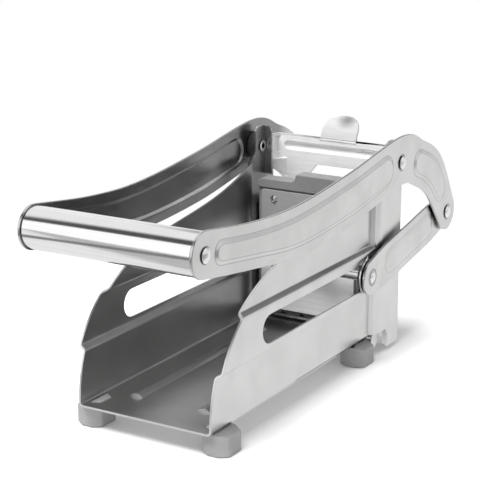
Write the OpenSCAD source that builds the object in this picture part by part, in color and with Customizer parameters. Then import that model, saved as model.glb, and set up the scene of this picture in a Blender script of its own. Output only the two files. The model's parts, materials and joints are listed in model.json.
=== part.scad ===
// Lever-operated french fry cutter: a folded sheet-metal tray with two towers, a lift-out
// knife cartridge, a studded pusher on a cross axle, and a forked lever that drives the
// pusher through two links.
// Side views are drawn as [y, z] from the tray's front edge and underside; in_frame() moves
// every piece so that the origin lies under the middle of the whole tool, on the table.
// The handle is at -Y, the knives are at +Y, and the right-hand side is +X.

/* [Tray] */
// Width over the lower side walls
tray_w = 80; // [76:1:90]
// Thickness of the folded sheet
sheet_t = 1.2; // [0.8:0.1:1.6]
// Length of the tray floor
floor_l = 173; // [165:0.5:180]
// Outside radius of the bends between floor and walls
bend_r = 2.6; // [2:0.1:4]
// How far the middle band of each wall stands out
band_out = 3.2; // [2:0.1:4]
// Inside radius of the small creases beside the band
crease_r = 1; // [0.6:0.1:1.2]
// Height where the wall starts to step out to the band
band_z0 = 28.7; // [25:0.1:30]
// Height where the wall has stepped back in
band_z1 = 56.4; // [53:0.1:60]
// Height taken by each of the two steps
band_step = 1.8; // [1.5:0.1:3]
// Height where the front edge of a wall starts to sweep back
front_z = 5; // [3:0.5:8]
// Distance from the front edge to the end of the wall's front curve
brow_y = 85; // [70:1:95]
// Height of the wall there
brow_z = 76.5; // [72:0.5:80]
// Height of the wall at the towers
shoulder_z = 95.5; // [92:0.5:99]
// Width of the two pressed ribs in the floor
rib_w = 8; // [6:0.5:9]
// Height of the two pressed ribs above the floor
rib_h = 1.8; // [1:0.1:2]
// Distance of each rib from the middle
rib_x = 20.9; // [16:0.1:26]
// Distance from the front edge to the ribs
rib_front = 24; // [20:1:40]
// Length of the ribs
rib_l = 130; // [80:1:135]

/* [Travel slots] */
// Height of the slot that the axle runs in
slot_h = 15.6; // [13:0.1:17]
// Height of the slot's middle above the tray's underside
slot_z = 41.6; // [40.5:0.1:43]
// Front end of the slot
slot_front = 44.7; // [35:0.1:46]

/* [Towers] */
// Depth of a tower, front to rear
tower_d = 32.5; // [31:0.5:36]
// Step from the wall out to the tower
tower_step = 2.2; // [1.5:0.1:2.4]
// Length taken by that step
tower_step_l = 1.4; // [1:0.1:3]
// Further outward ramp of the tower's front part
tower_ramp = 1.5; // [1.3:0.1:2]
// Length of the ramp
ramp_l = 6; // [4:0.1:12]
// Top of the ears above the tray's underside
ear_z = 115; // [112:0.5:120]
// Length of an ear, front to rear
ear_l = 12.2; // [11.5:0.1:16]
// Distance from the tower's rear edge forward to the ear
ear_back = 9.2; // [8:0.1:9.4]
// Radius of the ears' corners
ear_r = 3.5; // [2:0.1:5]
// Width of the flange folded in at the ears' rear edges
ear_lip_w = 4.2; // [2:0.1:5]
// Height at which the tower narrows to the ear
neck_z = 84; // [80:1:88]
// Depth of the legs below the tray's underside
leg_drop = 9.4; // [7:0.1:11]
// Length of the legs
leg_l = 14.5; // [10:0.5:16]
// Width of the lips folded in at the towers' rear edges
lip_w = 2.4; // [1.5:0.1:2.8]
// Top of those lips
lip_z = 80; // [70:1:82]

/* [Feet] */
// Height of the feet below the tray
foot_h = 12; // [11:0.5:18]
// Width of a foot
foot_w = 16; // [14:0.5:17]
// Length of a foot
foot_l = 18.5; // [17:0.5:24]
// How far a foot stands outside the wall
foot_out = 6.2; // [4:0.1:8]
// Distance from the tray's front edge to the front feet
foot_front = 3.5; // [3:0.5:10]
// Distance from the tray's front edge to the rear feet
foot_rear = 153.5; // [120:0.5:156]
// Width of a foot's cut-off corners
foot_cut_w = 5; // [2:0.1:6]
// Length of those corners
foot_cut_l = 3.2; // [2:0.1:5]
// Fall of a foot's top from the wall to its outer edge
foot_fall = 1.6; // [1:0.1:3]

/* [Lever] */
// Lever pivot behind the tray's front edge
pivot_y = 191.2; // [188:0.1:193]
// Lever pivot above the tray's underside
pivot_z = 102.7; // [100:0.1:105]
// Handle axis ahead of the pivot
handle_reach = 211.6; // [190:0.1:230]
// Handle axis below the pivot
handle_drop = 3.7; // [0:0.1:8]
// Link pin behind the pivot
hook_reach = 68.2; // [60:0.1:70]
// Link pin below the pivot
hook_drop = 43.6; // [40:0.1:46]
// Half width of an arm at the pivot
arm_half = 14.4; // [12:0.1:16]
// Radius of the arm's handle end
arm_front_r = 11.6; // [11.2:0.1:13]
// Radius of the arm's link end
arm_hook_r = 11.4; // [10:0.1:14]
// Thickness of the arm sheet
arm_t = 1.5; // [1.2:0.1:2]
// Height of the pressed panels
panel_rise = 0.8; // [0.4:0.1:1]
// Margin between the arm's edge and its panel
panel_margin = 5.5; // [5:0.1:8]
// Outside diameter of the handle tube
tube_d = 22; // [18:0.5:22]
// Wall of the handle tube
tube_wall = 1; // [0.8:0.1:2]
// Length of the plugs in the tube's ends
plug_l = 6; // [4:0.5:12]
// Diameter of the rod through the tube
rod_d = 5; // [4:0.5:6]

/* [Rivets and axle] */
// Diameter of the lever rivets
rivet_d = 6; // [5:0.5:7]
// Diameter of the rivet heads
head_d = 7.8; // [7.5:0.1:11]
// Diameter of the bushes between the ears and the arms
bush_d = 16; // [12:0.5:18]
// Height of the domed rivet heads
head_h = 1.7; // [1:0.1:2]
// Height of the upright rim below the dome
head_rim = 0.6; // [0.2:0.1:0.8]
// Diameter of the pusher axle
axle_d = 6; // [5:0.5:7]
// Diameter of the steel washers at the slots
washer_d = 20; // [18:0.5:22]
// Thickness of those washers
washer_t = 1; // [0.8:0.1:1.2]
// Length of the spacers between those washers and the links
spacer_l = 1; // [0.6:0.1:3]

/* [Links] */
// Distance between a link's two rivets
link_l = 99; // [97:0.1:102]
// Half width of a link in its middle
link_half = 12; // [10.5:0.1:13]
// Radius of a link's ends
link_end_r = 10.4; // [9:0.1:12]
// Thickness of a link
link_t = 1.5; // [1.2:0.1:1.8]

/* [Pusher] */
// Distance between the chips, which sets knives and studs
pitch = 12.6; // [11:0.1:13]
// Knife cells in each direction
cells = 5; // [4:1:5]
// Width of the gaps between the studs
stud_gap = 3; // [2:0.1:4]
// Length of the studs
stud_l = 6.4; // [4:0.1:6.8]
// Thickness of the pusher head's back wall
base_t = 8.5; // [6:0.5:8.5]
// Width of the pusher head
base_w = 67; // [66:0.5:70]
// Height of the pusher head above the studs' lowest edge
base_h = 83.3; // [80:0.1:84]
// Height of the head's toe that shows below the steel plate
toe_h = 4.3; // [3:0.1:6]
// How far the toe is set back
toe_back = 4.5; // [2:0.1:5]
// Radius of the head's upper corners
head_r = 3; // [1:0.5:4]
// Height of the raised finger grip above the head
grip_h = 4.6; // [4.6:0.1:9]
// Width of the finger grip
grip_w = 31; // [20:1:34]
// Offset of the finger grip to the right
grip_x = 7; // [0:0.5:8]
// Radius of the fillet on the left of the grip
grip_r = 3.2; // [2:0.1:3.4]
// Length of the long round slope on the right of the grip
grip_slope = 7; // [4:0.5:10]
// Thickness of the steel pusher plate
plate_t = 1.5; // [1:0.1:2]
// Width of the steel pusher plate
plate_w = 62; // [58:0.5:64]
// Height of the steel pusher plate
plate_h = 72.6; // [68:0.1:74]
// Gap between the plate's top edge and the lip of the head above it
lip_gap = 0.9; // [0.5:0.1:1.5]
// Distance from the plate's side edges to its rivets
plate_side_margin = 8.5; // [6:0.1:12]
// Distance from the plate's top and bottom edges to its rivets
plate_end_margin = 5.6; // [3:0.1:8]
// Diameter of the pusher's rivet heads
plate_rivet_d = 4.8; // [4:0.2:6]
// How deep the pusher's rivets reach into the head
plate_rivet_l = 4; // [2:0.5:5]
// Distance from the axle's surface back to the steel plate
axle_setback = 6; // [4:0.5:8]
// Width over the two ears of the axle bracket
bracket_w = 30; // [24:1:40]
// Height of the axle bracket
bracket_h = 15; // [12:0.5:18]

/* [Knife cartridge] */
// Thickness of a knife
knife_t = 0.8; // [0.6:0.1:1.2]
// Depth of a knife along the cut
knife_depth = 4.6; // [4:0.1:4.8]
// Length of the sharpened bevel
bevel_l = 1.6; // [1:0.1:2.4]
// Thickness of the cartridge's sheet
frame_t = 1.5; // [1.2:0.1:1.8]
// Height of the cartridge's top bar
bar_h = 16; // [12:0.5:18]
// Underside of the top bar above the tray's underside
bar_z = 92; // [91:0.5:94]
// Radius of the bends at the ends of the top bar
bar_r = 4; // [2.5:0.5:5]
// Length of the top bar's end flanges
flange_l = 7; // [5:0.5:7]
// Width of the groove pressed along the top bar
groove_w = 5; // [3:0.25:6]
// Half width of the lower edge of the window under the bar
window_w = 28.8; // [24:0.1:30]
// Width of the thumb tab
tab_w = 23.6; // [16:0.1:28]
// Length of the thumb tab along its curve
tab_l = 17.5; // [15:0.5:19]

/* [Motion] */
// How far the lever lifts, in degrees
lift_angle = 86; // [70:1:86]

/* [Hidden] */

$fn = 64;

// Clearances
run_gap = 0.05;     // radial gap of a rivet or axle in its bore
face_gap = 0.15;    // gap between flat faces that slide on each other
clear_gap = 0.3;    // gap between pieces that pass without touching
slot_gap = 0.4;     // gap between the slot and the bush in it
knife_gap = 1.4;    // gap left between the studs and the knives at rest
link_gap = 1.2;     // gap between a link and its arm, filled by the hook washer

// Widths from the middle, outwards
wall_x = tray_w / 2;
band_x = wall_x + band_out;
tower_x = wall_x + tower_step + tower_ramp;
tower_in = tower_x - sheet_t;
washer_x = band_x + clear_gap;
spacer_x = washer_x + washer_t;
axle_end = spacer_x + spacer_l;
link_x0 = axle_end + clear_gap;
link_x1 = link_x0 + link_t;
arm_x0 = link_x1 + link_gap;
arm_x1 = arm_x0 + arm_t;
inner_head_t = 0.8; // thickness of the rivets' flat inner heads
inner_head_d = rivet_d + 0.8;
eye_head_h = 0.9;

// Places along the tool, as [y, z] where there are two values
tower_y0 = floor_l;
step_y = tower_y0 + tower_step_l;
ramp_y = step_y + ramp_l;
tower_y1 = floor_l + tower_d;
lip_y = tower_y1 - sheet_t;
pivot = [pivot_y, pivot_z];
handle = pivot + [-handle_reach, -handle_drop];
hook = pivot + [hook_reach, -hook_drop];
axle_z = slot_z - slot_gap + run_gap;
axle = [hook[0] - sqrt(pow(link_l, 2) - pow(hook[1] - axle_z, 2)), axle_z];
overall_y0 = handle[0] - arm_front_r;
overall_y1 = hook[0] + arm_hook_r;
origin_y = (overall_y0 + overall_y1) / 2;

// The pusher stands just behind its axle, and the knives just behind its studs
plate_y = axle[0] + axle_d / 2 + axle_setback;
base_y = plate_y + plate_t;
stud_y = base_y + base_t;
knife_y = stud_y + stud_l + knife_gap;
level_y = knife_y + knife_depth + clear_gap;
grid_w = pitch * cells;
grid_z0 = sheet_t + frame_t + 0.5;
base_z0 = grid_z0 + stud_gap / 2;
plate_z0 = base_z0 + toe_h;
bar_y = tower_y1 + clear_gap + 2.2;

steel = [0.80, 0.81, 0.82];
bright = [0.90, 0.90, 0.91];
rubber = [0.66, 0.66, 0.67];
plastic = [0.60, 0.60, 0.60];
nylon = [0.10, 0.10, 0.11];

// Helpers

module in_frame() { translate([0, -origin_y, foot_h]) children(); }

// Side +1 is right, side -1 is left
module on_side(side) { mirror([side < 0 ? 1 : 0, 0, 0]) children(); }

// Extrudes a [y, z] outline along +X from x0
module side_plate(x0, t) { translate([x0, 0, 0]) rotate([90, 0, 90]) linear_extrude(t) children(); }

// Extrudes an [x, z] outline along +Y from y0
module cross_plate(y0, t) {
    translate([0, y0 + t, 0]) rotate([90, 0, 0]) linear_extrude(t) children();
}

// Round bar along X
module x_bar(r, x0, x1, at) {
    translate([x0, at[0], at[1]]) rotate([0, 90, 0]) cylinder(r = r, h = x1 - x0);
}

// Bore along Y
module y_bore(r, y0, y1, x, z) {
    translate([x, y0, z]) rotate([-90, 0, 0]) cylinder(r = r, h = y1 - y0);
}

// Piece turned about an axis along X, from a profile of [radius, x]
module turned(profile, at) {
    translate([0, at[0], at[1]]) rotate([0, 90, 0]) rotate_extrude() polygon(profile);
}

// Profile of a domed head that stands on x, from its rim to its crown
function dome(r, h, x) = let (ball = (r * r + h * h) / (2 * h), a = asin(r / ball))
    [for (i = [0:7]) let (b = a * (1 - i / 7)) [ball * sin(b), x + h - ball + ball * cos(b)]];

// The same head on a short upright rim
function rimmed(r, h, x) = concat([[r, x]], dome(r, h - head_rim, x + head_rim));

function reversed(p) = [for (i = [len(p) - 1:-1:0]) p[i]];
function mirrored(p) = [for (q = reversed(p)) [-q[0], q[1]]];

function arc(c, r, a0, a1, n) = [for (i = [0:n]) let (a = a0 + (a1 - a0) * i / n)
    c + r * [cos(a), sin(a)]];

function bezier(p, n) = [for (i = [0:n]) let (t = i / n, s = 1 - t)
    s * s * s * p[0] + 3 * s * s * t * p[1] + 3 * s * t * t * p[2] + t * t * t * p[3]];

// Smooth curve through control points
function smooth(a, b, c, d, t) = 0.5 * (2 * b + (c - a) * t + (2 * a - 5 * b + 4 * c - d) * t * t
    + (3 * b - 3 * c + d - a) * t * t * t);
function spline(p, n) = [
    for (i = [0:len(p) - 2]) for (j = [0:n - 1])
        smooth(p[max(i - 1, 0)], p[i], p[i + 1], p[min(i + 2, len(p) - 1)], j / n),
    p[len(p) - 1]];

// Outline of a strap with round ends that follows a curve of [y, z, half width]
function normal_at(s, i) = let (d = s[min(i + 1, len(s) - 1)] - s[max(i - 1, 0)])
    [-d[1], d[0]] / norm([d[0], d[1]]);
function strap(s, inset) = let (
    last = len(s) - 1, n0 = normal_at(s, 0), n1 = normal_at(s, last),
    a0 = atan2(n0[1], n0[0]) + 180, a1 = atan2(n1[1], n1[0]))
    concat(
        [for (i = [0:last]) [s[i][0], s[i][1]] + (s[i][2] - inset) * normal_at(s, i)],
        [for (k = [1:11]) [s[last][0], s[last][1]]
            + (s[last][2] - inset) * [cos(a1 - 15 * k), sin(a1 - 15 * k)]],
        [for (i = [last:-1:0]) [s[i][0], s[i][1]] - (s[i][2] - inset) * normal_at(s, i)],
        [for (k = [1:11]) [s[0][0], s[0][1]]
            + (s[0][2] - inset) * [cos(a0 - 15 * k), sin(a0 - 15 * k)]]);

// Rectangle with round corners, from its low corner
module round_rect(at, size, r) {
    polygon(concat(
        arc(at + [size[0] - r, r], r, -90, 0, 6), arc(at + size - [r, r], r, 0, 90, 6),
        arc(at + [r, size[1] - r], r, 90, 180, 6), arc(at + [r, r], r, 180, 270, 6)));
}

// Tray and towers

// Bend at b between a and c in a sheet that lies on the left of its outline, at depth off in
// the sheet. Bends to the left take the outside radius r, those to the right the inside one.
function bend(a, b, c, r, off, n) = let (
    u = (b - a) / norm(b - a), v = (c - b) / norm(c - b),
    turn = atan2(u[0] * v[1] - u[1] * v[0], u * v), left = sign(turn),
    r0 = left > 0 ? r : r - sheet_t,
    centre = b - r0 * tan(abs(turn) / 2) * u + left * r0 * [-u[1], u[0]],
    start = atan2(u[1], u[0]) - left * 90)
    arc(centre, r0 - left * off, start, start + turn, n);

// Right half of the folded section, as [x, z] from the floor's middle up the wall
function wall_path(off) = let (
    p = [[0, 0], [wall_x, 0], [wall_x, band_z0], [band_x, band_z0 + band_step],
        [band_x, band_z1 - band_step], [wall_x, band_z1], [wall_x, ear_z]])
    concat(bend(p[0], p[1], p[2], bend_r, off, 6),
        [for (i = [2:5]) each bend(p[i - 1], p[i], p[i + 1], crease_r + sheet_t, off, 3)],
        [p[6] - [off, 0]]);

module tray_section() {
    outer = wall_path(0);
    inner = wall_path(sheet_t);
    polygon(concat(mirrored(outer), outer, reversed(inner), mirrored(reversed(inner))));
}

// Side view of the tray: a swept-back front edge and a top edge that climbs to the towers
module tray_outline() {
    brow = [brow_y, brow_z];
    climb = [tower_y0, shoulder_z] - brow;
    front = bezier([[0, front_z], [0.018 * brow[0], 0.6 * brow[1]],
        [0.4 * brow[0], 0.91 * brow[1]], brow], 20);
    top = bezier([brow, brow + [0.38 * climb[0], 0.23 * climb[1]],
        brow + [0.64 * climb[0], 0.29 * climb[1]], brow + climb], 12);
    polygon(concat([[0, 0]], front, [for (i = [1:12]) top[i]],
        [[ramp_y, shoulder_z], [ramp_y, 0]]));
}

// Plan of the right tower's wall, as [x, y]
module tower_plan() {
    out = [[wall_x, tower_y0], [wall_x + tower_step, step_y],
        [tower_x, ramp_y], [tower_x, tower_y1]];
    polygon(concat(out, reversed([for (p = out) p - [sheet_t, 0]])));
}

// Side view of a tower, with its leg below and its ear on top
module tower_outline() {
    ear_y1 = tower_y1 - ear_back;
    ear_y0 = ear_y1 - ear_l;
    leg_y = tower_y1 - leg_l;
    notch_z = 2;
    notch_r = 3;
    polygon(concat(
        [[tower_y0 - 1, notch_z]],
        arc([leg_y - notch_r, notch_z - notch_r], notch_r, 90, 0, 5),
        [[leg_y, -leg_drop], [tower_y1, -leg_drop]],
        bezier([[tower_y1, neck_z], [tower_y1, neck_z + 5], [ear_y1, neck_z + 4],
            [ear_y1, neck_z + 9]], 6),
        arc([ear_y1 - ear_r, ear_z - ear_r], ear_r, 0, 90, 6),
        arc([ear_y0 + ear_r, ear_z - ear_r], ear_r, 90, 180, 6),
        bezier([[ear_y0, shoulder_z + 6], [ear_y0, shoulder_z + 1.5], [ear_y0 - 3, shoulder_z + 1],
            [tower_y0 - 1, shoulder_z - 0.2]], 6)));
}

// Travel slot, with a taller pocket at its rear end that lets the bush in
module slot_outline() {
    r = slot_h / 2;
    pocket_z = slot_z + r + 3.1;
    pocket_y = axle[0] + 22;
    polygon(concat(
        arc([slot_front + r, slot_z], r, 270, 90, 16),
        [[axle[0] - 3.5, slot_z + r], [axle[0] + 1.5, pocket_z], [pocket_y - 2, pocket_z],
         [pocket_y, pocket_z - 2]],
        arc([pocket_y - r, slot_z], r, 0, -90, 8)));
}

// Half-round rib pressed up from the floor
module floor_rib(x) {
    r = (rib_w * rib_w / 4 + rib_h * rib_h) / (2 * rib_h);
    drop = rib_h + sheet_t - r;
    difference() {
        intersection() {
            y_bore(r, rib_front, rib_front + rib_l, x, drop);
            translate([x - rib_w, rib_front, sheet_t / 2]) cube([2 * rib_w, rib_l, rib_h + sheet_t]);
        }
        y_bore(r - sheet_t, rib_front + sheet_t, rib_front + rib_l - sheet_t, x, drop);
    }
}

module body_shell() {
    color(steel) in_frame() {
        difference() {
            intersection() {
                cross_plate(0, ramp_y) tray_section();
                side_plate(-tray_w, 2 * tray_w) tray_outline();
            }
            // floor and plain walls end ahead of the towers' steps, the bands run on
            for (z = [[-1, band_z0 + band_step / 2], [band_z1 - band_step / 2, ear_z]])
                translate([-tray_w, tower_y0 + sheet_t / 2, z[0]])
                    cube([2 * tray_w, tower_d, z[1] - z[0]]);
            for (s = [-1, 1]) on_side(s) {
                side_plate(wall_x - 2, band_out + 4) slot_outline();
                for (y = [foot_front, foot_rear])
                    translate([0, 0, -1]) linear_extrude(sheet_t + 2) plug_plan(y, 0);
            }
            for (x = [-rib_x, rib_x]) translate([x - rib_w / 2 + 1, rib_front + sheet_t, -1])
                cube([rib_w - 2, rib_l - 2 * sheet_t, sheet_t + 2]);
        }
        for (x = [-rib_x, rib_x]) floor_rib(x);
        for (s = [-1, 1]) on_side(s) tower();
    }
}

module tower() {
    difference() {
        union() {
            intersection() {
                translate([0, 0, -foot_h]) linear_extrude(ear_z + 2 * foot_h) tower_plan();
                side_plate(0, tray_w) tower_outline();
            }
            // lip folded in at the rear edge
            translate([tower_in - lip_w, lip_y, -leg_drop])
                cube([lip_w + sheet_t / 2, sheet_t, lip_z + leg_drop]);
            // flange folded in at the ear's rear edge
            cross_plate(tower_y1 - ear_back - sheet_t, sheet_t) polygon(concat(
                [[tower_in + sheet_t / 2, neck_z + 1], [tower_in + sheet_t / 2, ear_z - ear_r]],
                arc([tower_in - ear_lip_w + ear_r, ear_z - ear_r - 0.5], ear_r, 90, 180, 6),
                [[tower_in - ear_lip_w, neck_z + 6], [tower_in - ear_lip_w - 1, neck_z + 1]]));
        }
        // the band's channel runs on into the tower
        translate([wall_x - 3, tower_y0 - 1, band_z0 + band_step])
            cube([band_x - sheet_t - wall_x + 3, ramp_y - tower_y0 + 1,
                band_z1 - band_z0 - 2 * band_step]);
        side_plate(wall_x - 2, band_out + 8) slot_outline();
        x_bar(rivet_d / 2 + run_gap, wall_x, tower_x + 1, pivot);
    }
}

// Cross member between the towers' legs that carries the cartridge
module rear_sill() {
    y0 = step_y + 2.2;
    y1 = lip_y - clear_gap;
    z1 = sheet_t + 0.1;
    r = 5;
    skirt_z = 1.2 - leg_drop;
    half = tower_in - 2.2;
    cheek_r = 9;
    flange_y = tower_y1 - leg_l + 0.6;
    flange_z = 1 - leg_drop;
    color(steel) in_frame() {
        side_plate(-half, 2 * half) polygon(concat(
            arc([y0 + r, z1 - r], r, 180, 90, 6),
            [[y1, z1], [y1, skirt_z], [y1 - sheet_t, skirt_z], [y1 - sheet_t, z1 - sheet_t]],
            arc([y0 + r, z1 - r], r - sheet_t, 90, 180, 6),
            [[y0 + sheet_t, skirt_z], [y0, skirt_z]]));
        // round cheeks that close the front corners
        for (s = [-1, 1]) on_side(s) side_plate(half - sheet_t, sheet_t) polygon(concat(
            [[y0 + 1, z1 - 1]], arc([y0 + 1, z1 - 1], cheek_r, 0, -90, 8)));
        // end flanges against the legs
        for (s = [-1, 1]) on_side(s) translate([half - 0.1, flange_y, flange_z])
            cube([tower_in - half + 0.1, y1 - 1.5 - flange_y, clear_gap - flange_z]);
    }
}

// Feet

plug_margin = 1.2;  // from the foot's edges to the hole in the floor
plug_gap = 0.2;     // between the plug and the hole's edges
plug_top = 0.5;     // how far the plug stands up from the floor

// Plan of a foot with cut-off corners, at margin m inside its edges
module foot_plan(y, m) {
    x0 = wall_x + foot_out - foot_w + m;
    x1 = wall_x + foot_out - m;
    y0 = y + m;
    y1 = y + foot_l - m;
    cut = [foot_cut_w, foot_cut_l];
    polygon([[x0 + cut[0], y0], [x1 - cut[0], y0], [x1, y0 + cut[1]], [x1, y1 - cut[1]],
        [x1 - cut[0], y1], [x0 + cut[0], y1], [x0, y1 - cut[1]], [x0, y0 + cut[1]]]);
}

// Plan of the plug through the floor, or of its hole where the gap is 0
module plug_plan(y, gap) {
    intersection() {
        foot_plan(y, plug_margin + gap);
        translate([0, y]) square([wall_x - bend_r - gap, foot_l]);
    }
}

module foot(side, y) {
    color(rubber) in_frame() on_side(side) {
        intersection() {
            translate([0, 0, -foot_h]) linear_extrude(foot_h) foot_plan(y, 0);
            // flat under the floor, then falling to the outer edge
            cross_plate(y - 1, foot_l + 2) polygon([
                [wall_x + foot_out - foot_w - 1, -foot_h - 1], [wall_x + foot_out + 1, -foot_h - 1],
                [wall_x + foot_out + 1, -foot_fall], [wall_x, 0],
                [wall_x + foot_out - foot_w - 1, 0]]);
        }
        // plug through the hole in the floor
        translate([0, 0, -1]) linear_extrude(1 + sheet_t + plug_top) plug_plan(y, plug_gap);
    }
}

module foot_front_left() { foot(-1, foot_front); }
module foot_front_right() { foot(1, foot_front); }
module foot_rear_left() { foot(-1, foot_rear); }
module foot_rear_right() { foot(1, foot_rear); }

// Lever

// Middle line of an arm: it sags ahead of the pivot and arches behind it. Each entry is the
// share of the way, the rise above the straight line and the half width as a share.
front_bow = [[0.22, -6.8, 0.83], [0.43, -10.4, 0.95], [0.71, -6.8, 1.02]];
rear_bow = [[0.36, 10.8, 0.95], [0.69, 13.3, 0.975]];
arm_lift = 0.9; // middle line above the pivot
function bowed(a, b, p) = let (at = a + p[0] * (b - a)) [at[0], at[1] + p[1], p[2] * arm_half];
arm_curve = spline(concat(
    [[handle[0], handle[1], arm_front_r]],
    [for (p = front_bow) bowed(handle, pivot, p)],
    [[pivot[0], pivot[1] + arm_lift, arm_half]],
    [for (p = rear_bow) bowed(pivot, hook, p)],
    [[hook[0], hook[1], arm_hook_r]]), 8);

// Stretches of the arm's line that carry the two pressed panels
long_panel = [for (i = [3:29]) arm_curve[i]];
hook_panel = [for (i = [40:51]) arm_curve[i]];

module arm_sheet() {
    difference() {
        union() {
            side_plate(arm_x0, arm_t) polygon(strap(arm_curve, 0));
            for (s = [long_panel, hook_panel])
                side_plate(arm_x1 - 0.1, panel_rise + 0.1) polygon(strap(s, panel_margin));
        }
        for (s = [long_panel, hook_panel])
            side_plate(arm_x0 - 1, panel_rise + 1) polygon(strap(s, panel_margin + arm_t - 0.4));
        x_bar(rivet_d / 2 + run_gap, arm_x0 - 2, arm_x1 + 2, pivot);
        x_bar(rivet_d / 2 + run_gap, arm_x0 - 2, arm_x1 + 2, hook);
        x_bar(rod_d / 2 + run_gap, arm_x0 - 2, arm_x1 + 2, handle);
    }
}

module arm_left() { color(steel) in_frame() on_side(-1) arm_sheet(); }
module arm_right() { color(steel) in_frame() on_side(1) arm_sheet(); }

module handle_tube() {
    color(bright) in_frame() difference() {
        x_bar(tube_d / 2, -arm_x0, arm_x0, handle);
        x_bar(tube_d / 2 - tube_wall, -arm_x1, arm_x1, handle);
    }
}

// Long rod through the tube, riveted over the arms at both ends
module handle_tie_rod() {
    end = concat([[rod_d / 2, arm_x1]], rimmed(head_d / 2, head_h, arm_x1));
    color(steel) in_frame() turned(concat(
        end, [for (p = reversed(end)) [p[0], -p[1]]]), handle);
}

module tube_plug(side) {
    color(plastic) in_frame() on_side(side) difference() {
        x_bar(tube_d / 2 - tube_wall - run_gap, arm_x0 - plug_l, arm_x0 - face_gap, handle);
        x_bar(rod_d / 2 + run_gap, arm_x0 - plug_l - 1, arm_x0 + 1, handle);
    }
}
module tube_plug_left() { tube_plug(-1); }
module tube_plug_right() { tube_plug(1); }

hollow_r = 1.4; // hole in the rivets' inner ends
hollow_l = 2;   // depth of that hole

// Rivet along X: a hollow inner end, a shank and a domed outer head
function rivet_profile(x0, x1) = concat(
    [[0, x0 + hollow_l], [hollow_r, x0 + hollow_l], [hollow_r + 0.3, x0 - inner_head_t],
     [inner_head_d / 2, x0 - inner_head_t], [inner_head_d / 2, x0],
     [rivet_d / 2, x0], [rivet_d / 2, x1]],
    rimmed(head_d / 2, head_h, x1));

// The lever turns on these two, between an ear and its arm
module pivot_rivet(side) {
    color(steel) in_frame() on_side(side) turned(rivet_profile(tower_in, arm_x1 + face_gap), pivot);
}
module pivot_rivet_left() { pivot_rivet(-1); }
module pivot_rivet_right() { pivot_rivet(1); }

module pivot_bush(side) {
    color(nylon) in_frame() on_side(side) difference() {
        x_bar(bush_d / 2, tower_x, arm_x0 - face_gap, pivot);
        x_bar(rivet_d / 2 + run_gap, tower_x - 1, arm_x1, pivot);
    }
}
module pivot_bush_left() { pivot_bush(-1); }
module pivot_bush_right() { pivot_bush(1); }

// Rivet between the arm's rear end and its link
module hook_rivet(side) {
    color(steel) in_frame() on_side(side) turned(rivet_profile(link_x0 - face_gap, arm_x1), hook);
}
module hook_rivet_left() { hook_rivet(-1); }
module hook_rivet_right() { hook_rivet(1); }

module hook_washer(side) {
    color(nylon) in_frame() on_side(side) difference() {
        x_bar(head_d / 2 + 1, link_x1 + face_gap, arm_x0, hook);
        x_bar(rivet_d / 2 + run_gap, link_x0, arm_x1, hook);
    }
}
module hook_washer_left() { hook_washer(-1); }
module hook_washer_right() { hook_washer(1); }

// Links

// Part of the link's line, with the half width at each of the given shares of the way
function link_line(shares) = spline([for (f = shares) let (p = axle + f * (hook - axle))
    [p[0], p[1], (f == 0 || f == 1) ? link_end_r : link_half]], 6);
link_curve = link_line([0, 0.2, 0.5, 0.8, 1]);
link_panel = link_line([0.24, 0.5, 0.76]);

module link(side) {
    rise = panel_rise / 2;
    color(steel) in_frame() on_side(side) difference() {
        union() {
            side_plate(link_x0, link_t) polygon(strap(link_curve, 0));
            side_plate(link_x1 - 0.1, 0.1 + rise) polygon(strap(link_panel, 4.4));
        }
        side_plate(link_x0 - 1, 1 + rise) polygon(strap(link_panel, 5.4));
        for (p = [axle, hook]) x_bar(rivet_d / 2 + run_gap, link_x0 - 1, link_x1 + 1, p);
    }
}
module link_left() { link(-1); }
module link_right() { link(1); }

// Riveted stub in the link's eye, over the end of the axle
module eye_rivet(side) {
    color(steel) in_frame() on_side(side) turned(concat(
        [[0, link_x0], [rivet_d / 2, link_x0], [rivet_d / 2, link_x1 + face_gap]],
        dome(head_d / 2 - 0.6, eye_head_h, link_x1 + face_gap)), axle);
}
module eye_rivet_left() { eye_rivet(-1); }
module eye_rivet_right() { eye_rivet(1); }

// Pusher

module pusher_axle() { color(steel) in_frame() x_bar(axle_d / 2, -axle_end, axle_end, axle); }

// Ring on the axle
module axle_ring(side, r, x0, x1) {
    in_frame() on_side(side) difference() {
        x_bar(r, x0, x1, axle);
        x_bar(axle_d / 2 + run_gap, x0 - 1, x1 + 1, axle);
    }
}

bush_lip = 0.8; // how far a slot bush stands inside the wall

// Nylon bush that rides in the wall's slot
module slot_bush(side) {
    color(nylon) axle_ring(side, slot_h / 2 - slot_gap, band_x - sheet_t - bush_lip, washer_x);
}
module slot_bush_left() { slot_bush(-1); }
module slot_bush_right() { slot_bush(1); }

module axle_washer(side) {
    color(bright) axle_ring(side, washer_d / 2, washer_x, spacer_x);
}
module axle_washer_left() { axle_washer(-1); }
module axle_washer_right() { axle_washer(1); }

module axle_spacer(side) {
    color(nylon) axle_ring(side, axle_d / 2 + 2, spacer_x, axle_end);
}
module axle_spacer_left() { axle_spacer(-1); }
module axle_spacer_right() { axle_spacer(1); }

// Places of the plate's rivets, as [x, z]
plate_rivets = [for (x = [-1, 1]) for (z = [plate_end_margin, plate_h - plate_end_margin])
    [x * (plate_w / 2 - plate_side_margin), plate_z0 + z]];
plate_shank_r = plate_rivet_d / 4;

module pusher_plate() {
    color(steel) in_frame() difference() {
        cross_plate(plate_y, plate_t) round_rect([-plate_w / 2, plate_z0], [plate_w, plate_h], 1.5);
        for (p = plate_rivets)
            y_bore(plate_shank_r + run_gap, plate_y - 1, base_y + 1, p[0], p[1]);
    }
}

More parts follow.
